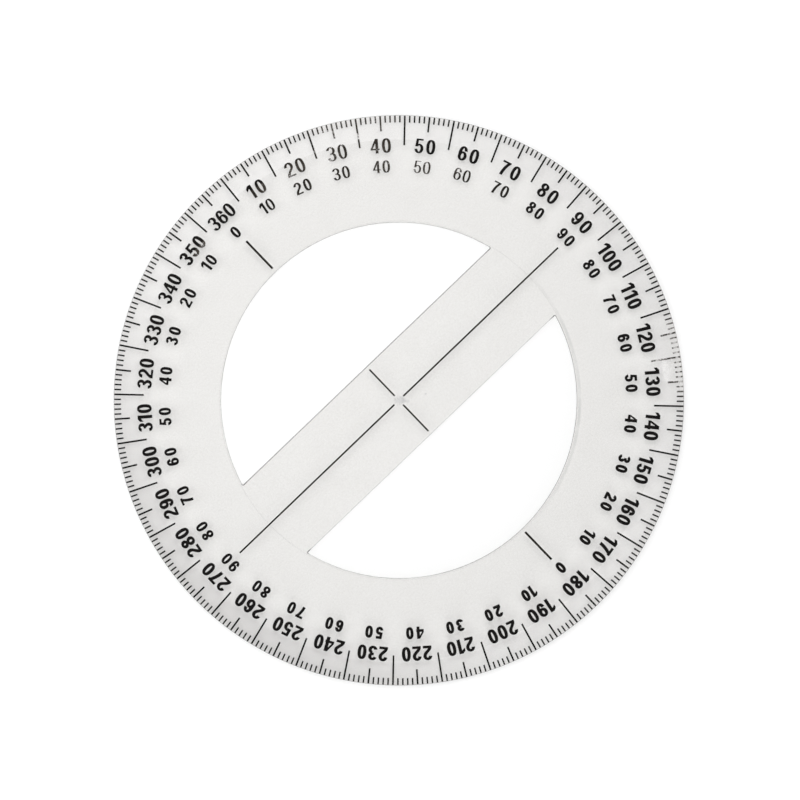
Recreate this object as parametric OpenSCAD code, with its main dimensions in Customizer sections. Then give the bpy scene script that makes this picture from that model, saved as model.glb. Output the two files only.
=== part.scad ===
// Circular protractor for a full turn, one clear moulding printed in black on its top face.
// Millimetres, +Z up through the printed face, origin at the centre of the flat back face.
// The bar lies along X, with the 90 degree mark at +X and the zero mark at +Y.
// The degrees run clockwise, seen from above.

/* [Plate] */
// Diameter of the plate over its rim
disc_dia = 150; // [142:1:200]
// Thickness of the plate inside the bevel
disc_t = 2; // [1.6:0.1:3]
// Thickness left at the rim
rim_t = 1; // [0.6:0.1:1.4]
// Width of the bevelled band that carries the degree marks
bevel_w = 6; // [4:0.5:9]
// Width of the small flat that breaks each sharp edge
edge_break = 0.15; // [0.05:0.05:0.25]

/* [Windows and bar] */
// Width of the printed band of the ring, from the rim in to the end of the numbers
band_w = 17.1; // [14:0.1:19]
// Width of the clear band between the printed band of the ring and the windows
clear_w = 11.2; // [8:0.1:16]
// Width of the bar between the windows
bar_w = 24.6; // [18:0.2:36]
// Draft of the window walls in degrees, wider at the back
window_draft = 3; // [0:0.5:6]
// Distance from the window circle to the step in the back face
ledge_w = 0.7; // [0.4:0.1:2]
// Depth by which the bar and the ledge stand back from the back face
step_depth = 0.15; // [0.05:0.05:0.3]

/* [Gate mark] */
// Diameter of the dimple that the mould leaves at the centre of the back
dimple_dia = 3.2; // [2:0.1:6]
// Depth of the dimple
dimple_depth = 0.4; // [0.2:0.05:0.6]
// Diameter of the broken stub in the dimple
stub_dia = 1.2; // [0.6:0.1:1.6]
// Height of the stub, less than the depth of the dimple
stub_h = 0.15; // [0.05:0.05:0.15]

/* [Degree marks] */
// Width of the marks at the single degrees
one_w = 0.4; // [0.2:0.02:0.6]
// Width of the marks at the tens and the fives
long_w = 0.46; // [0.2:0.02:0.6]
// Length of the marks at the single degrees
one_len = 1.95; // [1:0.05:3]
// Length of the marks at the tens, above the numbers
ten_len = 4.2; // [3:0.1:5.5]
// Length of the marks at the fives, between the numbers
five_len = 8; // [5:0.1:11]
// Thickness of the printed ink
ink_t = 0.03; // [0.01:0.01:0.1]

/* [Printed lines] */
// Width of the line along the bar and of the line across it
line_w = 0.44; // [0.2:0.02:0.8]
// Width of the zero lines on the ring
zero_w = 0.58; // [0.3:0.02:1]
// Distance that the lines keep from the centre
centre_clear = 1.6; // [0.5:0.1:4]
// Distance that the line across the bar keeps from the bar's edges
cross_clear = 1.1; // [0.4:0.1:3]
// Distance that the zero lines keep from the window circle
zero_clear = 1.2; // [0.5:0.1:2.4]

/* [Hidden] */
$fn = 180;
plate_colour = [0.9, 0.92, 0.92, 0.6];
ink_colour = [0.05, 0.05, 0.05];
full_turn = 360;
one_step = 1;
five_step = 5;
ten_step = 10;
dimple_floor_share = 0.7;
stub_tip_share = 0.8;
disc_r = disc_dia / 2;
flat_r = disc_r - bevel_w;
line_end_r = disc_r - band_w;
window_r = line_end_r - clear_w;
bar_half = bar_w / 2;
step_r = window_r + ledge_w;
dimple_r = dimple_dia / 2;
dimple_floor_r = dimple_floor_share * dimple_r;
stub_r = stub_dia / 2;
stub_tip_r = stub_tip_share * stub_r;
dimple_z = step_depth + dimple_depth;
rim_break_r = disc_r - edge_break;
bevel_slope = (disc_t - rim_t) / bevel_w;
// How far the window cutter runs past both faces
over = 1;

// Height of the printed face at a distance r from the centre: flat, then down the bevel
function top_z(r) = r <= flat_r ? disc_t : disc_t - (r - flat_r) * bevel_slope;

// Right half of the moulding's section, turned about the centre. From the stub and dimple
// at the centre of the back, out along the step and the back face, and up round the rim.
module plate_section() {
    polygon([
        [0, dimple_z - stub_h],
        [stub_tip_r, dimple_z - stub_h],
        [stub_r, dimple_z],
        [dimple_floor_r, dimple_z],
        [dimple_r, step_depth],
        [step_r - step_depth, step_depth],
        [step_r, 0],
        [rim_break_r, 0],
        [disc_r, edge_break],
        [disc_r, top_z(rim_break_r) - edge_break],
        [rim_break_r, top_z(rim_break_r)],
        [flat_r, disc_t],
        [0, disc_t]
    ]);
}

// Side of a window from the back face up, at a distance d from the bar or the centre.
// The wall leans by the draft, and a broken edge opens at each face. way is 1 where the
// window grows outwards and -1 where it grows inwards.
function window_side(d, way) =
    let (lean = (disc_t - step_depth - 2 * edge_break) * tan(window_draft))
    [
        [d + way * (lean + edge_break + over), step_depth - over],
        [d + way * lean, step_depth + edge_break],
        [d, disc_t - edge_break],
        [d + way * (edge_break + over), disc_t + over]
    ];

// The round wall of both windows
module window_circle() {
    rotate_extrude()
        polygon(concat([[0, step_depth - over]], window_side(window_r, 1), [[0, disc_t + over]]));
}

// Everything on the +Y side of the bar, bounded by the bar's long wall
module beside_bar() {
    rotate([90, 0, 90])
        linear_extrude(2 * disc_r, center = true)
            polygon(concat(
                [[disc_r, step_depth - over]],
                window_side(bar_half, -1),
                [[disc_r, disc_t + over]]
            ));
}

// One D shaped window, on the +Y side of the bar
module window_cut() {
    intersection() {
        window_circle();
        beside_bar();
    }
}

// The one piece moulding: bevelled ring, bar and two windows
module clear_plate() {
    color(plate_colour)
        difference() {
            rotate_extrude() plate_section();
            window_cut();
            mirror([0, 1, 0]) window_cut();
        }
}

// One printed mark from the rim inwards, lying on the bevel and, if it is long, on the flat
module degree_mark(mark_len, mark_w) {
    inner_r = disc_r - mark_len;
    knee = inner_r < flat_r ? [flat_r] : [];
    stops = concat([inner_r], knee, [rim_break_r]);
    last = len(stops) - 1;
    under = [for (r = stops) [r, top_z(r)]];
    over_ink = [for (i = [last:-1:0]) [stops[i], top_z(stops[i]) + ink_t]];
    rotate([90, 0, 90])
        linear_extrude(mark_w, center = true)
            polygon(concat(under, over_ink));
}

// Places its child at an angle in degrees, clockwise from +Y
module at_degree(angle) {
    rotate([0, 0, -angle]) children();
}

module one_degree_marks() {
    color(ink_colour)
        for (angle = [0:one_step:full_turn - one_step])
            if (angle % five_step != 0)
                at_degree(angle) degree_mark(one_len, one_w);
}

module five_degree_marks() {
    color(ink_colour)
        for (angle = [five_step:ten_step:full_turn])
            at_degree(angle) degree_mark(five_len, long_w);
}

module ten_degree_marks() {
    color(ink_colour)
        for (angle = [0:ten_step:full_turn - ten_step])
            at_degree(angle) degree_mark(ten_len, long_w);
}

// A printed stroke on the flat face, on the centre line of its angle
module flat_stroke(angle, from_r, to_r, width) {
    at_degree(angle)
        translate([-width / 2, from_r, disc_t])
            cube([width, to_r - from_r, ink_t]);
}

// The line along the bar from 270 to 90 degrees, open at the centre
module diameter_line() {
    color(ink_colour)
        for (angle = [90, 270])
            flat_stroke(angle, centre_clear, line_end_r, line_w);
}

// The short line across the bar, open at the centre
module centre_line() {
    color(ink_colour)
        for (angle = [0, 180])
            flat_stroke(angle, centre_clear, bar_half - cross_clear, line_w);
}

// The zero lines on the ring, on both sides of the windows
module zero_lines() {
    color(ink_colour)
        for (angle = [0, 180])
            flat_stroke(angle, window_r + zero_clear, line_end_r, zero_w);
}

clear_plate();
one_degree_marks();
five_degree_marks();
ten_degree_marks();
diameter_line();
centre_line();
zero_lines();
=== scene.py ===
# Circular protractor: a clear moulding with black print, on a white ground, seen from straight above.
import math

import bmesh
import bpy
from mathutils import Matrix, Vector
from mathutils.geometry import delaunay_2d_cdt, tessellate_polygon


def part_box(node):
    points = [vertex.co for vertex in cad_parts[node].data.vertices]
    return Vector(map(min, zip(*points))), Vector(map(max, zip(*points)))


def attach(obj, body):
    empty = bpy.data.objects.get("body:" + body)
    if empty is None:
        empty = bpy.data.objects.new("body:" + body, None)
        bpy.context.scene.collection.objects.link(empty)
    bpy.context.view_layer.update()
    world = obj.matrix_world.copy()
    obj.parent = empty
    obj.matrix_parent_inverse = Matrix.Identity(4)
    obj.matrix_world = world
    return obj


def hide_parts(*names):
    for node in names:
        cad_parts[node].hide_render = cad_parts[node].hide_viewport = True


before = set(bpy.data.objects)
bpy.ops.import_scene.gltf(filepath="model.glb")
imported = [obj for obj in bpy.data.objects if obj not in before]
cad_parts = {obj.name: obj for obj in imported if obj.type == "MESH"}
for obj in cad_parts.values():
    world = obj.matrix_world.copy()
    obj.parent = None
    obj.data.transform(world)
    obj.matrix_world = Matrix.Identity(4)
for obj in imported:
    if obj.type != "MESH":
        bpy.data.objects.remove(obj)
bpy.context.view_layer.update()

mm = 0.001
scene = bpy.context.scene
scene.view_settings.view_transform = "Standard"
print("frame loaded:", len(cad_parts), "nodes")


# Places in the image: right and up are measured on the plate, from its centre
view = {
    "barAngle": 43.8,           # degrees, the bar above the image's horizontal
    "frameWidth": 210.72 * mm,  # what the image spans on the ground
    "height": 620 * mm,         # lens above the plate
    "aimRight": 0.29 * mm,      # the image's middle, beside the plate's
    "aimUp": 0.08 * mm,
}
barAngle = math.radians(view["barAngle"])
imageRight = Vector((math.cos(barAngle), -math.sin(barAngle), 0))
imageUp = Vector((math.sin(barAngle), math.cos(barAngle), 0))


def imagePlace(right, up, height):
    return imageRight * right + imageUp * up + Vector((0, 0, height))


# Direction on the plate, its turn in degrees up from the image's right
def imageHeading(turn):
    a = math.radians(turn)
    return imagePlace(math.cos(a), math.sin(a), 0)


def addCamera():
    data = bpy.data.cameras.new("camera")
    data.lens = data.sensor_width * view["height"] / view["frameWidth"]
    camera = bpy.data.objects.new("camera", data)
    camera.location = imagePlace(view["aimRight"], view["aimUp"], view["height"])
    camera.rotation_euler = (0, 0, -barAngle)
    scene.collection.objects.link(camera)
    scene.camera = camera


addCamera()
print("camera placed")


# Node helpers. A socket is fed by another node's output or by a plain value.
def feed(tree, socket, value):
    if isinstance(value, bpy.types.NodeSocket):
        tree.links.new(value, socket)
    else:
        socket.default_value = value


def addNode(tree, kind, inputs=None, **settings):
    node = tree.nodes.new(kind)
    for name, value in settings.items():
        setattr(node, name, value)
    for key, value in (inputs or {}).items():
        feed(tree, node.inputs[key], value)
    return node


def addMath(tree, operation, *values):
    return addNode(tree, "ShaderNodeMath", dict(enumerate(values)), operation=operation).outputs[0]


def addVectorMath(tree, operation, *values):
    return addNode(tree, "ShaderNodeVectorMath", dict(enumerate(values)), operation=operation)


# Smooth step from one stretch of values to another
def addRange(tree, value, fromMin, fromMax, toMin=0.0, toMax=1.0):
    inputs = {"Value": value, "From Min": fromMin, "From Max": fromMax, "To Min": toMin, "To Max": toMax}
    return addNode(tree, "ShaderNodeMapRange", inputs, interpolation_type="SMOOTHSTEP").outputs["Result"]


def addColourMix(tree, factor, first, second, way="MIX"):
    mix = addNode(tree, "ShaderNodeMix", data_type="RGBA", blend_type=way)
    sockets = [socket for socket in mix.inputs if socket.enabled]
    for socket, value in zip(sockets, (factor, first, second)):
        feed(tree, socket, value)
    return next(socket for socket in mix.outputs if socket.enabled)


def objectSpot(tree):
    return addNode(tree, "ShaderNodeTexCoord").outputs["Object"]


def newMaterial(name, kind):
    material = bpy.data.materials.new(name)
    material.use_nodes = True
    tree = material.node_tree
    tree.nodes.clear()
    output = addNode(tree, "ShaderNodeOutputMaterial")
    shader = addNode(tree, kind)
    return material, tree, output, shader


# Ground, light and world
stageLook = {
    "floorSize": 5.0,           # metres
    "floorDrop": 0.02 * mm,     # keeps the ground clear of the plate's back
    "floorGrey": 0.78,          # diffuse part of the white
    # The rest of the white, for the lens only: distance from the plate's axis in mm, glow. There is more of
    # it where less light falls. The rise from 61 to 68 mm is painted light that lifts the figures' shadows on
    # the ground, and the rise just outside the rim is painted light that hides the plate's shadow there.
    "glow": (
        (0, 0.25), (30, 0.25), (57, 0.226), (61, 0.268), (68, 0.268), (71, 0.22), (75.2, 0.22),
        (76, 0.30), (79, 0.335), (90, 0.36), (125, 0.50),
        (230, 0.62), (330, 0.85), (450, 0.97), (600, 1.0),
    ),
    "worldLevel": 0.04,         # light that surfaces receive from the room
    "whiteTurn": 80,            # degrees in the image, the side where the room stays white low down
    "whiteFade": (-0.42, -0.06),  # cosines of the angle to that side, between which the room turns white
    "darkSide": 0.05,           # what is left of the white at the other side
}


# 1 for what the lens sees straight, mirrored or through the plate, 0 for light that a surface receives
def seenByLens(tree):
    path = addNode(tree, "ShaderNodeLightPath")
    seen = addMath(tree, "MAXIMUM", path.outputs["Is Camera Ray"], path.outputs["Is Glossy Ray"])
    seen = addMath(tree, "MAXIMUM", seen, path.outputs["Is Transmission Ray"])
    unscattered = addMath(tree, "LESS_THAN", path.outputs["Diffuse Depth"], 0.5)
    return addMath(tree, "MULTIPLY", seen, unscattered)


def makeGround():
    material, tree, output, paper = newMaterial("white_ground", "ShaderNodeBsdfDiffuse")
    paper.inputs["Color"].default_value = (stageLook["floorGrey"],) * 3 + (1,)
    away = addVectorMath(tree, "LENGTH", objectSpot(tree)).outputs["Value"]
    steps = stageLook["glow"]
    reach = steps[-1][0] * mm
    ramp = addNode(tree, "ShaderNodeValToRGB", {"Fac": addMath(tree, "DIVIDE", away, reach)})
    elements = ramp.color_ramp.elements
    while len(elements) < len(steps):
        elements.new(1.0)
    for element, (radius, share) in zip(elements, steps):
        element.position = radius * mm / reach
        element.color = (share, share, share, 1)
    level = addMath(tree, "MULTIPLY", seenByLens(tree), ramp.outputs["Color"])
    glow = addNode(tree, "ShaderNodeEmission", {"Strength": level})
    both = addNode(tree, "ShaderNodeAddShader", {0: paper.outputs[0], 1: glow.outputs[0]})
    tree.links.new(both.outputs[0], output.inputs["Surface"])
    return material


def addFloor():
    half = stageLook["floorSize"] / 2
    mesh = bpy.data.meshes.new("floor")
    corners = [(-half, -half, 0), (half, -half, 0), (half, half, 0), (-half, half, 0)]
    mesh.from_pydata(corners, [], [(0, 1, 2, 3)])
    mesh.materials.append(makeGround())
    floor = bpy.data.objects.new("floor", mesh)
    floor.location.z = -stageLook["floorDrop"]
    scene.collection.objects.link(floor)


# Broad soft lamps round the plate, which show neither in the image nor in mirrors: the three low ones let
# the print's shadows fall inwards, the fourth lights the far edge. share is the lamp's part of a full white
# at the middle of the plate.
softSize = (260 * mm, 260 * mm)
lamps = {
    "left": {"right": -230 * mm, "up": 0, "height": 160 * mm, "share": 0.272},
    "right": {"right": 230 * mm, "up": 20 * mm, "height": 160 * mm, "share": 0.142},
    "bottom": {"right": 0, "up": -230 * mm, "height": 160 * mm, "share": 0.247},
    "top": {"right": 0, "up": 140 * mm, "height": 240 * mm, "share": 0.535},
}
# A small bright strip that the bevel mirrors as a pale streak
glint = {"turn": 6.5, "away": 212 * mm, "height": 300 * mm, "size": (20 * mm, 2 * mm), "radiance": 3.0}


def addLamp(name, place, size, energy):
    data = bpy.data.lights.new(name + "_lamp", "AREA")
    data.shape = "ELLIPSE"
    data.size, data.size_y = size
    data.energy = energy
    item = bpy.data.objects.new(name + "_lamp", data)
    item.location = place
    # the lamp's wide side lies across the way to the middle of the plate
    ahead = -place.normalized()
    across = Vector((0, 0, 1)).cross(ahead).normalized()
    item.rotation_euler = Matrix((across, across.cross(ahead), -ahead)).transposed().to_euler()
    scene.collection.objects.link(item)
    return item


def addLamps():
    for name, lamp in lamps.items():
        place = imagePlace(lamp["right"], lamp["up"], lamp["height"])
        slant = lamp["height"] / place.length
        energy = lamp["share"] * math.pi ** 2 * place.length_squared / slant
        item = addLamp(name, place, softSize, energy)
        item.visible_camera = False
        item.visible_glossy = False
        item.visible_transmission = False
    place = imageHeading(glint["turn"]) * glint["away"] + Vector((0, 0, glint["height"]))
    area = math.pi / 4 * glint["size"][0] * glint["size"][1]
    addLamp("glint", place, glint["size"], glint["radiance"] * math.pi * area)


# The plate mirrors a room that is white overhead and darker low down at one side
def addWorld():
    world = bpy.data.worlds.new("white_world")
    scene.world = world
    world.use_nodes = True
    tree = world.node_tree
    tree.nodes.clear()
    toward = addNode(tree, "ShaderNodeTexCoord").outputs["Generated"]
    toward = addVectorMath(tree, "DOT_PRODUCT", toward, imageHeading(stageLook["whiteTurn"]))
    mirrored = addRange(tree, toward.outputs["Value"], *stageLook["whiteFade"], stageLook["darkSide"], 1.0)
    direct = addNode(tree, "ShaderNodeLightPath").outputs["Is Camera Ray"]
    shown = addMath(tree, "MAXIMUM", mirrored, direct)
    level = stageLook["worldLevel"]
    extra = addMath(tree, "SUBTRACT", shown, level)
    strength = addMath(tree, "MULTIPLY_ADD", seenByLens(tree), extra, level)
    light = addNode(tree, "ShaderNodeBackground", {"Color": (1, 1, 1, 1), "Strength": strength})
    addNode(tree, "ShaderNodeOutputWorld", {"Surface": light.outputs[0]})


addFloor()
addLamps()
addWorld()
print("ground, lamps and world placed")


# Masks that the finishes share
def newGroup(name, inputs, outputs):
    group = bpy.data.node_groups.new(name, "ShaderNodeTree")
    for label, kind, value in inputs:
        group.interface.new_socket(label, in_out="INPUT", socket_type=kind).default_value = value
    for label, kind in outputs:
        group.interface.new_socket(label, in_out="OUTPUT", socket_type=kind)
    source = addNode(group, "NodeGroupInput")
    return group, source.outputs, addNode(group, "NodeGroupOutput")


def addNoise(tree, spot, scale, detail, stretch=None, turn=0.0):
    if stretch:
        inputs = {"Vector": spot, "Scale": stretch, "Rotation": (0, 0, turn)}
        spot = addNode(tree, "ShaderNodeMapping", inputs).outputs["Vector"]
    inputs = {"Vector": spot, "Scale": scale, "Detail": detail}
    return addNode(tree, "ShaderNodeTexNoise", inputs).outputs["Fac"]


# Noise that runs between two levels while it passes through the fade
def addPatches(tree, spot, fade, levels=(0.0, 1.0), **noise):
    return addRange(tree, addNoise(tree, spot, **noise), *fade, *levels)


# Distance from the plate's axis, and the direction from it
def addRadius(tree, spot):
    flat = addVectorMath(tree, "MULTIPLY", spot, (1, 1, 0)).outputs["Vector"]
    reach = addVectorMath(tree, "LENGTH", flat).outputs["Value"]
    return reach, addVectorMath(tree, "NORMALIZE", flat).outputs["Vector"]


# 1 between two distances, fading over a soft edge on both sides
def addBand(tree, reach, inner, outer, soft):
    rise = addRange(tree, reach, inner - soft, inner + soft)
    fall = addRange(tree, reach, outer - soft, outer + soft, 1.0, 0.0)
    return addMath(tree, "MULTIPLY", rise, fall)


# 1 where the direction lies near a heading, fading to 0 between two cosines of the angle to it
def addSector(tree, aim, heading, low, high, top=1.0):
    toward = addVectorMath(tree, "DOT_PRODUCT", aim, heading)
    return addRange(tree, toward.outputs["Value"], low, high, 0.0, top)


# The same for a side of the plate as the image shows it
def addSide(tree, aim, turn, low, high):
    return addSector(tree, aim, imageHeading(turn), low, high)


# Noise that frays the edge of a soft spot
fray = {"scale": 1600, "detail": 2}


# A soft spot at a place on the plate, 1 at its middle and fading to 0; ragged is how far its edge frays
def addSpot(tree, spot, place, size, ragged):
    inputs = {"Vector": spot, "Location": place, "Rotation": (0, 0, -barAngle), "Scale": (*size, 1)}
    mapping = addNode(tree, "ShaderNodeMapping", inputs, vector_type="TEXTURE")
    reach = addRadius(tree, mapping.outputs["Vector"])[0]
    reach = addMath(tree, "MULTIPLY_ADD", addNoise(tree, spot, **fray), ragged, reach)
    reach = addMath(tree, "SUBTRACT", reach, ragged / 2)
    return addRange(tree, reach, 0.5, 1.1, 1.0, 0.0)


# Places a group with the material's own values
def addGroup(tree, group, given):
    node = addNode(tree, "ShaderNodeGroup", node_tree=group)
    for label, value in given.items():
        feed(tree, node.inputs[label], value)
    return node


def addBump(tree, height, shader):
    bump = addNode(tree, "ShaderNodeBump", {"Strength": 1.0, "Distance": 1.0, "Height": height})
    tree.links.new(bump.outputs["Normal"], shader.inputs["Normal"])


# Clear plastic: what all its faces share
plastic = {
    "ior": 1.57,
    "lampPass": (0.94, 0.94, 0.935, 1),     # what one face lets through for lamps
    "dull": (0.90, 0.894, 0.885, 1),        # what haze leaves of the tint
    "evenHaze": 0.14,                       # haze is this, and shares of the clouds and of the grain
    "cloudShare": 0.15,
    "grainShare": 0.43,
    "clouds": {"scale": 90, "detail": 3, "fade": (0.40, 0.75)},
    "grain": {"scale": 2000, "detail": 1, "fade": (0.35, 0.70)},
    "smears": {"scale": 30, "detail": 4, "stretch": (1, 4, 1), "turn": 0.6, "fade": (0.42, 0.72)},
    "wave": 30e-6,                          # height of the faces' waviness, metres
    "waves": {"scale": 22, "detail": 1},
    "scratch": 2e-6,                        # depth of the hair scratches, metres
    "hairs": {"detail": 1, "stretch": (1, 160, 1), "fade": (0.735, 0.76)},
    "hairSets": ({"turn": 0.3, "scale": 9.0}, {"turn": 1.7, "scale": 11.0}, {"turn": 2.5, "scale": 8.0}),
}


# Skin of the moulding: faint haze takes some of the tint, hands dulled it in smears, and it is wavy and has
# hair scratches
def makeSkin():
    inputs = (
        ("Tint", "NodeSocketColor", (1, 1, 1, 1)),
        ("Smooth", "NodeSocketFloat", 0.02),
        ("Smeared", "NodeSocketFloat", 0.07),
    )
    outputs = (("Colour", "NodeSocketColor"), ("Roughness", "NodeSocketFloat"), ("Height", "NodeSocketFloat"))
    group, given, sink = newGroup("moulded_skin", inputs, outputs)
    spot = objectSpot(group)
    clouds = addPatches(group, spot, **plastic["clouds"])
    grain = addPatches(group, spot, **plastic["grain"])
    even = addMath(group, "MULTIPLY_ADD", clouds, plastic["cloudShare"], plastic["evenHaze"])
    haze = addMath(group, "MULTIPLY_ADD", grain, plastic["grainShare"], even)
    dulled = addColourMix(group, 1.0, given["Tint"], plastic["dull"], "MULTIPLY")
    group.links.new(addColourMix(group, haze, given["Tint"], dulled), sink.inputs["Colour"])
    smears = addPatches(group, spot, **plastic["smears"])
    roughness = addRange(group, smears, 0.0, 1.0, given["Smooth"], given["Smeared"])
    group.links.new(roughness, sink.inputs["Roughness"])
    height = addMath(group, "MULTIPLY", addNoise(group, spot, **plastic["waves"]), plastic["wave"])
    for hairSet in plastic["hairSets"]:
        hairs = addPatches(group, spot, **plastic["hairs"], **hairSet)
        height = addMath(group, "MULTIPLY_ADD", hairs, -plastic["scratch"], height)
    group.links.new(height, sink.inputs["Height"])
    return group


# Light that falls on the ground comes straight through the plate, so its shade stays soft and even
def makePlastic(name, look, addDetail):
    material, tree, output, shader = newMaterial(name, "ShaderNodeBsdfPrincipled")
    shader.inputs["IOR"].default_value = plastic["ior"]
    shader.inputs["Transmission Weight"].default_value = 1.0
    shader.inputs["Base Color"].default_value = look["tint"]
    smooth, smeared = look["roughness"]
    given = {"Tint": look["tint"], "Smooth": smooth, "Smeared": smeared}
    skin = addGroup(tree, mouldedSkin, given)
    tree.links.new(addDetail(tree, skin.outputs["Colour"]), shader.inputs["Base Color"])
    tree.links.new(skin.outputs["Roughness"], shader.inputs["Roughness"])
    addBump(tree, skin.outputs["Height"], shader)
    path = addNode(tree, "ShaderNodeLightPath")
    through = addNode(tree, "ShaderNodeBsdfTransparent", {"Color": plastic["lampPass"]})
    surface = shader.outputs[0]
    for ray in ("Is Shadow Ray", "Is Diffuse Ray"):
        inputs = {0: path.outputs[ray], 1: surface, 2: through.outputs[0]}
        surface = addNode(tree, "ShaderNodeMixShader", inputs).outputs[0]
    tree.links.new(surface, output.inputs["Surface"])
    return material


# Painted shade of one side of the plate, in patches, strongest on the bevel and fading out inwards over the
# ring
sideShade = {
    "side": (221, 0.35, 1.0),               # the side's turn in the image, then the cosines it fades between
    "reach": (62.5 * mm, 71.5 * mm),
    "patches": {"scale": 110, "detail": 3, "fade": (0.3, 0.7), "levels": (0.7, 1.0)},
    "colour": (0.80, 0.787, 0.782, 1),
}


# Mask of the painted shade on one side of the plate
def makeGrime():
    inputs = (("Amount", "NodeSocketFloat", 1.0),)
    group, given, sink = newGroup("painted_side_shade", inputs, (("Side Shade", "NodeSocketFloat"),))
    spot = objectSpot(group)
    reach, aim = addRadius(group, spot)
    patches = addPatches(group, spot, **sideShade["patches"])
    mask = addMath(group, "MULTIPLY", addSide(group, aim, *sideShade["side"]), patches)
    mask = addMath(group, "MULTIPLY", mask, addRange(group, reach, *sideShade["reach"]))
    group.links.new(addMath(group, "MULTIPLY", mask, given["Amount"]), sink.inputs["Side Shade"])
    return group


# Darkens a colour with the painted shade of one side of the plate
def addGrime(tree, colour, amount):
    mask = addGroup(tree, sideShadeGroup, {"Amount": amount})
    return addColourMix(tree, mask.outputs["Side Shade"], colour, sideShade["colour"])


# Flat faces. The mould's gate left a faint grey blush at the middle and specks beside it, and painted shade
# lies along part of the step round the windows, at one side.
clearLook = {
    "tint": (0.911, 0.903, 0.893, 1),
    "roughness": (0.02, 0.07),
    "sideShade": 1.0,
    "stepShade": (0.74, 0.735, 0.725, 1),
    "stepShadeSide": (2, 0.70, 0.95),
    "stepShadeBand": (47.2 * mm, 47.9 * mm, 0.25 * mm),  # where it lies, and how softly it ends
    "stepShadePatches": {"scale": 260, "detail": 3, "fade": (0.35, 0.65), "levels": (0.35, 1.0)},
    "gate": (0.55, 0.55, 0.56, 1),
    "gateMarks": (
        {"right": 0.4 * mm, "up": 0.0, "size": (1.9 * mm, 1.0 * mm), "ragged": 1.2, "depth": 0.48},
        {"right": 2.3 * mm, "up": -0.3 * mm, "size": (0.7 * mm, 0.6 * mm), "ragged": 1.0, "depth": 0.2},
        {"right": 7.0 * mm, "up": 1.7 * mm, "size": (0.4 * mm, 0.3 * mm), "ragged": 0.3, "depth": 0.3},
    ),
}


def addClearDetail(tree, colour):
    # painted shade of one side of the plate
    colour = addGrime(tree, colour, clearLook["sideShade"])
    spot = objectSpot(tree)
    reach, aim = addRadius(tree, spot)
    # painted shade along part of the step, at one side
    stepShaded = addSide(tree, aim, *clearLook["stepShadeSide"])
    stepShaded = addMath(tree, "MULTIPLY", stepShaded, addBand(tree, reach, *clearLook["stepShadeBand"]))
    stepShaded = addMath(tree, "MULTIPLY", stepShaded, addPatches(tree, spot, **clearLook["stepShadePatches"]))
    colour = addColourMix(tree, stepShaded, colour, clearLook["stepShade"])
    for mark in clearLook["gateMarks"]:
        place = imagePlace(mark["right"], mark["up"], 0)
        mask = addSpot(tree, spot, place, mark["size"], mark["ragged"])
        mask = addMath(tree, "MULTIPLY", mask, mark["depth"])
        colour = addColourMix(tree, mask, colour, clearLook["gate"])
    return colour


# Bevelled rim: its tint is a little darker than the flat faces' as painted shade, and painted light makes it
# paler at two sides
bevelLook = {
    "tint": (0.90, 0.887, 0.890, 1),
    "roughness": (0.02, 0.07),
    "sideShade": 1.0,
    "bevelPaintedLight": (0.995, 0.983, 0.981, 1),
    "bevelPaintedLightSides": ((126, 0.1, 1.0), (300, 0.4, 1.0)),
}


def addBevelDetail(tree, colour):
    aim = addRadius(tree, objectSpot(tree))[1]
    # painted light: paler at two sides
    bevelPaintedLight = addMath(tree, "MAXIMUM", *(addSide(tree, aim, *side) for side in bevelLook["bevelPaintedLightSides"]))
    colour = addColourMix(tree, bevelPaintedLight, colour, bevelLook["bevelPaintedLight"])
    # painted shade of one side of the plate
    return addGrime(tree, colour, bevelLook["sideShade"])


# Cut faces, with painted shade that makes them darker than the rest, most of all where a window wall runs
# into its corner, and painted light on the round walls except at one side and on one of the bar's walls
wallLook = {
    "tint": (0.40, 0.40, 0.395, 1),
    "roughness": (0.18, 0.30),
    "wallPaintedLight": (0.86, 0.86, 0.85, 1),          # painted light on the round walls, except at one side
    "wallPaintedLightPatches": {"scale": 45, "detail": 2, "fade": (0.38, 0.6), "levels": (0.25, 1.0)},
    "darkSide": (-12, 0.3, 0.9),
    "wallPaintedLightEnd": (70 * mm, 71 * mm),          # inside the rim, which keeps the tint
    "barLightAndShade": ((1, (0.16, 0.16, 0.16, 1)), (-1, (0.68, 0.68, 0.675, 1))),  # painted shade on the bar's wall at one side, painted light at the other
    "barBand": (11.55 * mm, 12.75 * mm, 0.15 * mm),  # where the bar's walls lie, across the bar
    "barEnd": (45.0 * mm, 45.4 * mm),       # and where they end, along it
    "corner": (0.03, 0.03, 0.03, 1),
    "cornerShadeFade": (42.8 * mm, 44.5 * mm),   # painted shade: both of the bar's walls turn nearly black at their ends
}


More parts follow.
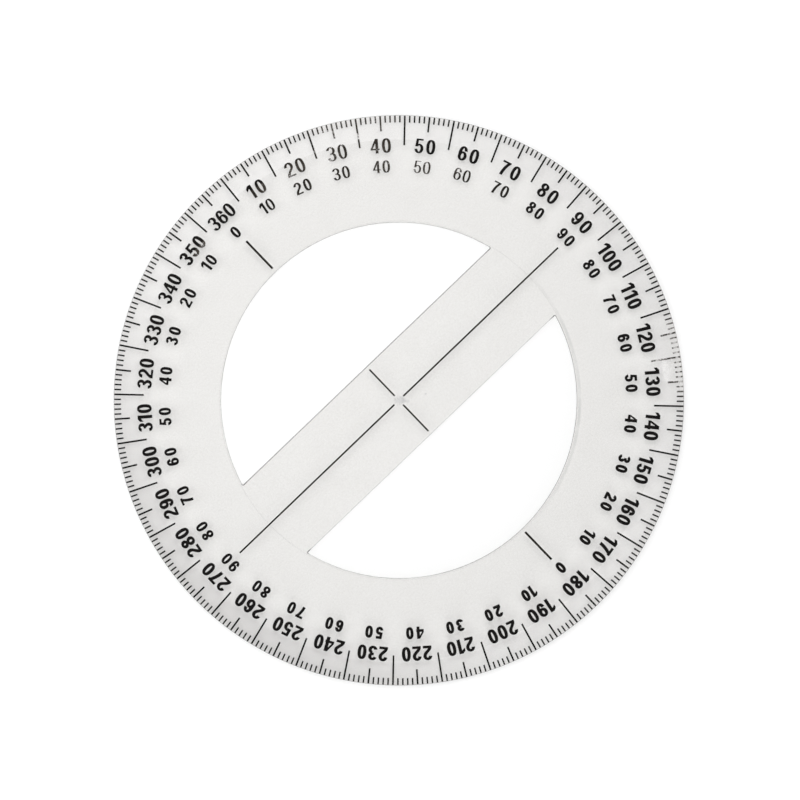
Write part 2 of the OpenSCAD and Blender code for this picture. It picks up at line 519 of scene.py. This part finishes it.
def addWallDetail(tree, colour):
    spot = objectSpot(tree)
    reach, aim = addRadius(tree, spot)
    # painted light on the round walls, left off at the shaded side and near the rim
    wallPaintedLight = addMath(tree, "SUBTRACT", 1.0, addSide(tree, aim, *wallLook["darkSide"]))
    wallPaintedLight = addMath(tree, "MULTIPLY", wallPaintedLight, addPatches(tree, spot, **wallLook["wallPaintedLightPatches"]))
    wallPaintedLight = addMath(tree, "MULTIPLY", wallPaintedLight, addRange(tree, reach, *wallLook["wallPaintedLightEnd"], 1.0, 0.0))
    colour = addColourMix(tree, wallPaintedLight, colour, wallLook["wallPaintedLight"])
    parts = addNode(tree, "ShaderNodeSeparateXYZ", {0: spot})
    along = addMath(tree, "ABSOLUTE", parts.outputs["X"])
    inner = addRange(tree, along, *wallLook["barEnd"], 1.0, 0.0)
    # painted light and shade on the bar's two walls, and painted shade darkening their ends
    for side, tone in wallLook["barLightAndShade"]:
        across = addMath(tree, "MULTIPLY", parts.outputs["Y"], side)
        mask = addMath(tree, "MULTIPLY", inner, addBand(tree, across, *wallLook["barBand"]))
        colour = addColourMix(tree, mask, colour, tone)
        mask = addMath(tree, "MULTIPLY", mask, addRange(tree, along, *wallLook["cornerShadeFade"]))
        colour = addColourMix(tree, mask, colour, wallLook["corner"])
    return colour


# Print
ink = {
    "black": (0.0025, 0.0025, 0.003, 1),
    "thin": (0.13, 0.11, 0.09, 1),          # where it lies thin, and where painted highlight and glare lighten it
    "ringLoss": 0.04,
    "lineLoss": 0.16,                       # the lines on the bar are printed thinner
    "lineEnd": (56 * mm, 58 * mm),
    "specular": 0.06,
    "roughness": (0.42, 0.62),
    "patches": {"scale": 420, "detail": 3, "fade": (0.35, 0.65), "levels": (0.75, 1.25)},
    "dots": {"scale": 2600, "detail": 2},
    "dotFade": (0.3, 0.7),
    "dotLevels": (0.6, 1.3),                # how much thinner or fuller the dots leave it
    "holeFade": (-0.15, 0.15, 1.0, 0.15),   # then the ink's cover outside and inside a hole
    "height": 6e-6,                         # of its grain, metres
    "wearAndGlareEdge": 0.3 * mm,                   # how softly a stretch of wear and painted glare ends, inwards and outwards
    "wearAndGlareSpread": (1.2, 0.7),               # shares of its half width where it starts and is full
}
# Stretches where ink is taken away: degrees and half width of the stretch, then its reach from the centre in
# mm, then how much ink is gone there. Those from 120 to 130 degrees are a painted highlight, where a glint
# whitens the marks; those from 20 to 60 degrees are partly painted glare and partly thin print.
inkWearAndGlare = (
    (34, 9, 72.2, 76.0, 0.38),
    (35, 6, 69.5, 73.2, 0.42),
    (30, 1.2, 70.2, 71.8, 0.52),
    (35, 1.2, 69.3, 71.2, 0.70),
    (26, 15, 64.0, 66.0, 0.46),
    (26, 19, 64.0, 67.4, 0.34),
    (30, 14, 64.4, 69.4, 0.24),
    (29, 6, 68.0, 69.6, 0.42),
    (46, 14, 59.0, 64.0, 0.34),
    (50, 11, 62.0, 64.0, 0.42),
    (41, 32, 59.0, 64.0, 0.20),
    (126, 5.5, 73.5, 74.5, 0.95),
    (125, 8.5, 72.5, 76.0, 0.47),
    (120, 0.7, 70.5, 73.0, 0.48),
    (125, 0.9, 66.6, 73.0, 0.48),
    (130, 0.7, 70.5, 73.0, 0.48),
    (351, 2.5, 64.0, 66.4, 0.40),
)


# How much of the ink is gone: thin print, and the painted highlight and glare of the stretches above
def addInkLoss(tree, spot):
    reach, aim = addRadius(tree, spot)
    loss = addRange(tree, reach, *ink["lineEnd"], ink["lineLoss"], ink["ringLoss"])
    for turn, spread, inner, outer, gone in inkWearAndGlare:
        a = math.radians(turn)
        edge, full = (math.cos(math.radians(spread * share)) for share in ink["wearAndGlareSpread"])
        sector = addSector(tree, aim, (math.sin(a), math.cos(a), 0), edge, full, gone)
        band = addBand(tree, reach, inner * mm, outer * mm, ink["wearAndGlareEdge"])
        loss = addMath(tree, "MAXIMUM", loss, addMath(tree, "MULTIPLY", sector, band))
    return loss


def makeInk():
    material, tree, output, shader = newMaterial("black_ink", "ShaderNodeBsdfPrincipled")
    shader.inputs["Specular IOR Level"].default_value = ink["specular"]
    spot = objectSpot(tree)
    # thin places are patchy, and the thinnest have holes, which also paint the highlight and glare
    patchy = addMath(tree, "MULTIPLY", addInkLoss(tree, spot), addPatches(tree, spot, **ink["patches"]))
    dots = addNoise(tree, spot, **ink["dots"])
    holes = addMath(tree, "ADD", patchy, addMath(tree, "SUBTRACT", dots, 1.0))
    tree.links.new(addRange(tree, holes, *ink["holeFade"]), shader.inputs["Alpha"])
    uneven = addMath(tree, "MULTIPLY", patchy, addRange(tree, dots, *ink["dotFade"], *ink["dotLevels"]))
    tree.links.new(addColourMix(tree, uneven, ink["black"], ink["thin"]), shader.inputs["Base Color"])
    tree.links.new(addRange(tree, dots, *ink["dotFade"], *ink["roughness"]), shader.inputs["Roughness"])
    addBump(tree, addMath(tree, "MULTIPLY", dots, ink["height"]), shader)
    tree.links.new(shader.outputs[0], output.inputs["Surface"])
    return material


mouldedSkin = makeSkin()
sideShadeGroup = makeGrime()
# the bevel and cut-face copies of the plastic carry painted light and shade
clearPlastic = makePlastic("clear_plastic", clearLook, addClearDetail)
bevelPlastic = makePlastic("bevel_plastic", bevelLook, addBevelDetail)
wallPlastic = makePlastic("wall_plastic", wallLook, addWallDetail)
blackInk = makeInk()
print("materials made")


# Clear plate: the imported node's sizes, with round edges and finer curves
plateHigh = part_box("clear_plate")[1]
plate = {
    "radius": plateHigh.x,
    "top": plateHigh.z,
    "bevelWidth": 6 * mm,
    "rimTop": 1 * mm,           # where the bevel would meet the rim
    "kneeLength": 0.5 * mm,     # blend on each side of the bevel's inner edge
    "edgeRadius": 0.15 * mm,
    "hold": 0.06 * mm,          # a loop this near an edge round keeps the face beside it even
    "windowRadius": 46.7 * mm,
    "barHalf": 12.3 * mm,
    "cornerRadius": 0.18 * mm,
    "draft": math.radians(3),
    "ledge": 0.7 * mm,
    "stepDepth": 0.15 * mm,
    "stepWidth": 0.40 * mm,
    "dimpleRadius": 1.6 * mm,
    "dimpleDepth": 0.4 * mm,
    "stubRadius": 0.6 * mm,
    "stubHeight": 0.15 * mm,
    "around": 720,              # points round the plate
    "arcPoints": 240,           # points on a window's arc
    "cornerPoints": 6,          # steps on a window's corner
    "roundPoints": 5,           # steps on an edge round
    "stepPoints": 6,            # steps on the soft sides of the step, the dimple and the stub
    "dimplePoints": 8,
    "stubPoints": 7,
    "crease": math.radians(25),  # edges sharper than this stay sharp
}
flatSlot, bevelSlot, wallSlot = range(3)    # the plate's material slots


def circleLoop(radius, z):
    turns = [2 * math.pi * i / plate["around"] for i in range(plate["around"])]
    return [Vector((radius * math.cos(a), radius * math.sin(a), z)) for a in turns]


# Outline of the window on one side of the bar, grown by a distance: arc, corner, bar wall, corner
def windowLoop(grow, z, side):
    corner = plate["cornerRadius"]
    reach = plate["windowRadius"] - corner
    cornerY = plate["barHalf"] + corner
    slant = math.asin(cornerY / reach)
    cornerX = reach * math.cos(slant)
    points = []

    def addArc(x, y, radius, start, end, steps):
        for i in range(steps + 1):
            a = start + (end - start) * i / steps
            points.append(Vector((x + radius * math.cos(a), side * (y + radius * math.sin(a)), z)))

    addArc(0, 0, plate["windowRadius"] + grow, slant, math.pi - slant, plate["arcPoints"])
    addArc(-cornerX, cornerY, corner + grow, math.pi - slant, 1.5 * math.pi, plate["cornerPoints"])
    addArc(cornerX, cornerY, corner + grow, -0.5 * math.pi, slant, plate["cornerPoints"])
    # both corners end where the next stretch starts, so each shared point is kept once
    return [p for i, p in enumerate(points) if (p - points[i - 1]).length > 1e-7]


# Sections are lists of points, distance from the axis or the edge and height
def roundSection(centre, radius, start, end):
    steps = plate["roundPoints"]
    angles = [math.radians(start + (end - start) * i / steps) for i in range(steps + 1)]
    return [(centre[0] + radius * math.cos(a), centre[1] + radius * math.sin(a)) for a in angles]


# Half a wave between two points
def waveSection(start, end, steps):
    section = []
    for i in range(steps + 1):
        lift = 0.5 - 0.5 * math.cos(math.pi * i / steps)
        section.append((start[0] + (end[0] - start[0]) * i / steps, start[1] + (end[1] - start[1]) * lift))
    return section


# From the flat top over the knee and down the bevel, then round the rim and under to the back face
def rimSections():
    top = plate["top"]
    edge = plate["edgeRadius"]
    tilt = math.atan2(top - plate["rimTop"], plate["bevelWidth"])
    kneeRadius = plate["kneeLength"] / math.tan(tilt / 2)
    flatR = plate["radius"] - plate["bevelWidth"]
    rimR = plate["radius"] - edge
    rimZ = top - (rimR - flatR) * math.tan(tilt) - edge / math.cos(tilt)
    leaning = 90 - math.degrees(tilt)
    knee = roundSection((flatR - plate["kneeLength"], top - kneeRadius), kneeRadius, 90, leaning)
    rim = roundSection((rimR, rimZ), edge, leaning, 0) + roundSection((rimR, edge), edge, 0, -90)
    holdX = plate["hold"] * math.cos(tilt)
    holdZ = plate["hold"] * math.sin(tilt)
    holds = [(knee[-1][0] + holdX, knee[-1][1] - holdZ), (rim[0][0] - holdX, rim[0][1] + holdZ)]
    return knee + holds, rim


# From the step's foot in the back face up to the bar's back
def stepSection():
    foot = plate["windowRadius"] + plate["ledge"]
    return waveSection((foot, 0), (foot - plate["stepWidth"], plate["stepDepth"]), plate["stepPoints"])


# From the bar's back up into the dimple and down to the stub's tip
def gateSection():
    floor = plate["stepDepth"] + plate["dimpleDepth"]
    tip = (0, floor - plate["stubHeight"])
    foot = (plate["stubRadius"], floor)
    dimple = waveSection((plate["dimpleRadius"], plate["stepDepth"]), foot, plate["dimplePoints"])
    return dimple + waveSection(foot, tip, plate["stubPoints"])[1:-1]


# Edge round, drafted wall and edge round, from the top face to the stepped back
def wallSection():
    high = plate["top"] - plate["edgeRadius"]
    low = plate["stepDepth"] + plate["edgeRadius"]
    lean = (high - low) * math.tan(plate["draft"])
    holds = [(0, high - plate["hold"]), (lean, low + plate["hold"])]
    topRound = roundSection((plate["edgeRadius"], high), plate["edgeRadius"], 90, 180)
    lowRound = roundSection((lean + plate["edgeRadius"], low), plate["edgeRadius"], 180, 270)
    return topRound + holds + lowRound


def addLoops(bm, loops):
    return [[bm.verts.new(p) for p in points] for points in loops]


def bridge(bm, loops, slot, smooth=True):
    for first, second in zip(loops, loops[1:]):
        for i in range(len(first)):
            face = bm.faces.new((first[i - 1], first[i], second[i], second[i - 1]))
            face.smooth = smooth
            face.material_index = slot


# Flat face between an outline and its holes
def cap(bm, loops, slot):
    flat = [v for loop in loops for v in loop]
    for triangle in tessellate_polygon([[v.co for v in loop] for loop in loops]):
        face = bm.faces.new([flat[i] for i in triangle])
        face.material_index = slot


# Makes the piece and counts edges that don't have exactly two faces
def addPiece(name, bm, materials):
    openEdges = sum(1 for edge in bm.edges if len(edge.link_faces) != 2)
    mesh = bpy.data.meshes.new(name)
    bm.to_mesh(mesh)
    bm.free()
    for material in materials:
        mesh.materials.append(material)
    item = bpy.data.objects.new(name, mesh)
    scene.collection.objects.link(item)
    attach(item, "root")
    print(name, "built:", len(mesh.polygons), "faces,", openEdges, "open edges")
    return item


def buildPlate():
    bm = bmesh.new()
    bevelSection, rimSection = rimSections()
    bevel = addLoops(bm, [circleLoop(r, z) for r, z in bevelSection])
    rim = addLoops(bm, [circleLoop(r, z) for r, z in rimSection])
    step = addLoops(bm, [circleLoop(r, z) for r, z in stepSection()])
    gate = addLoops(bm, [circleLoop(r, z) for r, z in gateSection()])
    bridge(bm, bevel + rim[:1], bevelSlot)
    bridge(bm, rim, wallSlot)
    bridge(bm, [rim[-1], step[0]], flatSlot, smooth=False)
    bridge(bm, step, flatSlot)
    bridge(bm, gate, flatSlot)
    cap(bm, [gate[-1]], flatSlot)
    windows = [addLoops(bm, [windowLoop(grow, z, side) for grow, z in wallSection()]) for side in (1, -1)]
    for loops in windows:
        bridge(bm, loops, wallSlot)
    cap(bm, [bevel[0]] + [loops[0] for loops in windows], flatSlot)
    cap(bm, [step[-1]] + [loops[-1] for loops in windows] + [gate[0]], flatSlot)
    bmesh.ops.recalc_face_normals(bm, faces=bm.faces)
    for edge in bm.edges:
        if len(edge.link_faces) == 2 and edge.calc_face_angle(0) > plate["crease"]:
            edge.smooth = False
    item = addPiece("clear_moulding", bm, (clearPlastic, bevelPlastic, wallPlastic))
    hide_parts("clear_plate")


buildPlate()


# Figures: each is drawn with a broad pen on a field one unit high, then set round the rings
figure = {
    "width": 0.61,
    "stem": 0.19,               # pen width of upright strokes, which the ring's own stem replaces
    "bar": 0.132,               # pen width of level strokes at that stem
    "ring": 2.3,                # how square the zero's ends are
    "lag": 0.34 * mm,           # how far the figures sit behind their marks
    # how bolder pens and a weak print change the strokes: exponents of the stem's share and of the weight
    "barGrowth": 1.5,
    "stemFade": 0.6,
    "barFade": 2,
    "pitchFade": 0.2,
    "oneBefore": 0.6,           # how much of its closeness a 1 gives to the figure before it
}


def arcPath(x, y, radiusX, radiusY, start, end, steps=14, power=2.0):
    points = []
    for i in range(steps + 1):
        a = math.radians(start + (end - start) * i / steps)
        c = math.cos(a)
        s = math.sin(a)
        c = math.copysign(abs(c) ** (2 / power), c)
        s = math.copysign(abs(s) ** (2 / power), s)
        points.append((x + radiusX * c, y + radiusY * s))
    return points


def bezierPath(a, b, c, d, steps):
    points = []
    for i in range(steps + 1):
        t = i / steps
        u = 1 - t
        weights = (u ** 3, 3 * u * u * t, 3 * u * t * t, t ** 3)
        points.append(tuple(sum(w * p[k] for w, p in zip(weights, (a, b, c, d))) for k in (0, 1)))
    return points


# The pen is an ellipse, a stem wide and a bar high, so level strokes come out thinner
def penStroke(path, stem, bar):
    a = stem / 2
    b = bar / 2
    closed = math.dist(path[0], path[-1]) < 1e-6
    before = [path[-2] if closed else path[0]] + path[:-1]
    after = path[1:] + [path[1] if closed else path[-1]]
    sides = []
    for (x, y), (x0, y0), (x1, y1) in zip(path, before, after):
        nx = y0 - y1
        ny = x1 - x0
        reach = math.sqrt(a * a * nx * nx + b * b * ny * ny)
        dx = a * a * nx / reach
        dy = b * b * ny / reach
        sides.append(((x + dx, y + dy), (x - dx, y - dy)))
    return [[l0, r0, r1, l1] for (l0, r0), (l1, r1) in zip(sides, sides[1:])]


def drawFigure(digit, stem, bar):
    w = figure["width"]
    left = stem / 2
    right = w - stem / 2
    low = bar / 2
    high = 1 - bar / 2
    mid = w / 2
    shapes = []

    def stroke(*paths):
        path = []
        for part in paths:
            path += part if not path else part[1:]
        shapes.extend(penStroke(path, stem, bar))

    def level(x0, x1, y):
        shapes.append([(x0, y), (x1, y), (x1, y + bar), (x0, y + bar)])

    def upright(x):
        shapes.append([(x, 0), (x + stem, 0), (x + stem, 1), (x, 1)])

    if digit == "0":
        stroke(arcPath(mid, 0.5, mid - left, high - 0.5, 90, 450, 40, figure["ring"]))
    if digit == "1":
        edge = 0.25
        upright(edge)
        shapes.append([(0.03, 0.63), (edge + 0.01, 0.78), (edge + stem / 2, 1), (0.21, 1), (0.03, 0.84)])
    if digit == "2":
        stroke(
            arcPath(mid, 0.70, mid - left, high - 0.70, 178, 0),
            bezierPath((right, 0.70), (right, 0.46), (0.17, 0.38), (0.125, 0.10), 10),
        )
        level(0.02, w, 0)
    if digit == "3":
        stroke(arcPath(mid - 0.01, 0.735, mid - left - 0.01, high - 0.735, 168, -75, 16))
        stroke(arcPath(mid, 0.285, mid - left, 0.285 - low, 82, -172, 18))
        level(0.22, 0.36, 0.475)
    if digit == "4":
        upright(0.335)
        level(0, w, 0.225)
        shapes.append([(0, 0.225 + bar), (0.15, 0.225 + bar), (0.42, 0.86), (0.335, 1)])
    if digit == "5":
        level(0.10, 0.56, 1 - bar)
        shapes.append([(0.035, 0.46), (0.035 + 0.9 * stem, 0.46), (0.10 + 0.8 * stem, 1), (0.09, 1)])
        stroke(arcPath(mid, 0.33, mid - left, 0.33 - low, 140, -172, 20))
    if digit in "69":
        stroke(arcPath(mid, 0.32, mid - left, 0.32 - low, 90, 450, 28))
        stroke(arcPath(mid, 0.5, mid - left, high - 0.5, 22, 200, 18, 2.15))
    if digit == "7":
        level(0.01, w, 1 - bar)
        stroke(bezierPath((right, 0.93), (0.33, 0.68), (0.24, 0.35), (0.215, 0), 10))
    if digit == "8":
        stroke(arcPath(mid, 0.75, mid - left - 0.02, high - 0.75, 90, 450, 28))
        stroke(arcPath(mid, 0.28, mid - left, 0.28 - low, 90, 450, 28))
    if digit == "9":
        shapes = [[(w - x, 1 - y) for x, y in shape] for shape in shapes]
    return shapes


# Lengths and areas on a figure's field, under which strokes count as one
join = {
    "sliver": 1e-6,
    "weld": 1e-5,
    "edgeSlack": 1e-6,
    "straight": 0.02,           # radians
}


# Whether a point lies in one of the triangles, whose corners run anticlockwise, or on its edge
def isCovered(point, triangles):
    for a, b, c in triangles:
        inside = min((b - a).cross(point - a), (c - b).cross(point - b), (a - c).cross(point - c))
        if inside > -join["edgeSlack"]:
            return True
    return False


# Joins the strokes of a figure into one flat outline, as points and triangles
def joinShapes(shapes):
    corners = []
    fans = [(shape[0], shape[i], shape[i + 1]) for shape in shapes for i in range(1, len(shape) - 1)]
    for fan in fans:
        area = sum(a[0] * b[1] - b[0] * a[1] for a, b in zip(fan, fan[1:] + fan[:1]))
        if abs(area) >= join["sliver"]:
            corners.extend(Vector(p) for p in (fan if area > 0 else fan[::-1]))
    faces = [list(range(i, i + 3)) for i in range(0, len(corners), 3)]
    result = delaunay_2d_cdt(corners, [], faces, 0, join["weld"], True)
    verts = result[0]
    strokes = [corners[i:i + 3] for i in range(0, len(corners), 3)]
    bm = bmesh.new()
    made = [bm.verts.new((v.x, v.y, 0)) for v in verts]
    for face in result[2]:
        middle = sum((verts[i] for i in face), Vector((0, 0))) / len(face)
        if isCovered(middle, strokes):
            bm.faces.new([made[i] for i in face])
    loose = [v for v in bm.verts if not v.link_faces]
    bmesh.ops.delete(bm, geom=loose, context="VERTS")
    bmesh.ops.dissolve_limit(bm, angle_limit=join["straight"], verts=bm.verts, edges=bm.edges)
    bmesh.ops.triangulate(bm, faces=bm.faces)
    bm.verts.index_update()
    outline = [(v.co.x, v.co.y) for v in bm.verts]
    triangles = [[v.index for v in f.verts] for f in bm.faces]
    bm.free()
    return outline, triangles


def fullCircleLabel(degrees):
    return str(degrees or 360)


def quarterLabel(degrees):
    half = degrees % 180
    return str(min(half, 180 - half))


# The two rings of numbers. radius is to the middle of the figures, slip is how far the ring's print slipped
# to the image's right and up, and press is how bold it came out, by degrees.
lineLow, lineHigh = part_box("diameter_line")
numberRings = {
    "outer_numerals": {
        "radius": 66.82 * mm,
        "height": 3.84 * mm,
        "stem": 0.227,
        "slip": (-0.02 * mm, 0.14 * mm),
        "pitchOfTwo": 3.2 * mm,
        "pitchOfThree": 2.80 * mm,
        "oneCloser": 0.42 * mm,
        "label": fullCircleLabel,
        "press": (
            (0, 0.82), (10, 0.83), (20, 0.75), (30, 0.66), (40, 0.76), (50, 0.82), (60, 0.86), (90, 0.90),
            (120, 1.01), (180, 1.03), (280, 1.01), (310, 0.95), (340, 0.89), (350, 0.96), (360, 0.82),
        ),
    },
    "inner_numerals": {
        "radius": 61.34 * mm,
        "height": 3.22 * mm,
        "stem": 0.226,
        "slip": (-0.18 * mm, 0.12 * mm),
        "pitchOfTwo": 2.72 * mm,
        "pitchOfThree": 2.5 * mm,
        "oneCloser": 0.62 * mm,
        "label": quarterLabel,
        "press": (
            (0, 0.95), (10, 0.73), (20, 0.83), (30, 0.71), (40, 0.66), (50, 0.56), (60, 0.60), (70, 0.80),
            (80, 0.94), (90, 0.94), (100, 1.0), (140, 1.13), (170, 1.18), (200, 1.18), (230, 1.13),
            (270, 0.99), (290, 1.02), (330, 1.02), (350, 0.92), (360, 0.95),
        ),
    },
}


# How bold the figures at an angle came out
def pressAt(degrees, press):
    for (d0, w0), (d1, w1) in zip(press, press[1:]):
        if d0 <= degrees <= d1:
            return w0 + (w1 - w0) * (degrees - d0) / (d1 - d0)


# Where a label's figures stand along the ring. A 1 is narrow, so its neighbours stand closer to it.
def figurePlaces(ring, label, weight):
    pitch = ring["pitchOfThree"] if len(label) == 3 else ring["pitchOfTwo"]
    pitch *= min(1, weight) ** figure["pitchFade"]
    places = [0]
    for digit, following in zip(label, label[1:]):
        closer = ring["oneCloser"] * ((digit == "1") + figure["oneBefore"] * (following == "1"))
        places.append(places[-1] + pitch - closer)
    return [place - places[-1] / 2 - figure["lag"] for place in places]


# Raises a flat outline into a closed skin of ink: its back, its top and its sides
def addSkin(points, faces, place, outline, triangles):
    base = len(points)
    for z in (lineLow.z, lineHigh.z):
        points.extend(place(x, y, z) for x, y in outline)
    count = len(outline)
    used = set()
    for i, j, k in triangles:
        faces.append((base + k, base + j, base + i))
        faces.append((base + count + i, base + count + j, base + count + k))
        used.update(((i, j), (j, k), (k, i)))
    for i, j in sorted(used):
        if (j, i) not in used:
            faces.append((base + i, base + j, base + count + j, base + count + i))


def buildNumbers(name):
    ring = numberRings[name]
    origin = imagePlace(*ring["slip"], 0)
    points = []
    faces = []
    for degrees in range(0, 360, 10):
        label = ring["label"](degrees)
        a = math.radians(degrees)
        outward = Vector((math.sin(a), math.cos(a), 0))
        along = Vector((math.cos(a), -math.sin(a), 0))
        # level strokes fade sooner than upright ones where the print is weak
        weight = pressAt(degrees, ring["press"])
        stem = ring["stem"] * weight ** figure["stemFade"]
        bar = figure["bar"] * (ring["stem"] / figure["stem"]) ** figure["barGrowth"]
        bar *= weight ** figure["barFade"]
        for middle, digit in zip(figurePlaces(ring, label, weight), label):

            def place(x, y, z):
                across = middle + (x - figure["width"] / 2) * ring["height"]
                out = ring["radius"] + (y - 0.5) * ring["height"]
                return origin + outward * out + along * across + Vector((0, 0, z))

            addSkin(points, faces, place, *joinShapes(drawFigure(digit, stem, bar)))
    mesh = bpy.data.meshes.new(name + "_draft")
    mesh.from_pydata(points, [], faces)
    bm = bmesh.new()
    bm.from_mesh(mesh)
    bpy.data.meshes.remove(mesh)
    bmesh.ops.recalc_face_normals(bm, faces=bm.faces)
    item = addPiece(name, bm, (blackInk,))


for name in numberRings:
    buildNumbers(name)


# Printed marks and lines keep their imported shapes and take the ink
inkNodes = (
    "one_degree_marks", "five_degree_marks", "ten_degree_marks",
    "diameter_line", "centre_line", "zero_lines",
)
for name in inkNodes:
    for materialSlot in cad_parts[name].material_slots:
        materialSlot.material = blackInk
print("marks and lines inked")
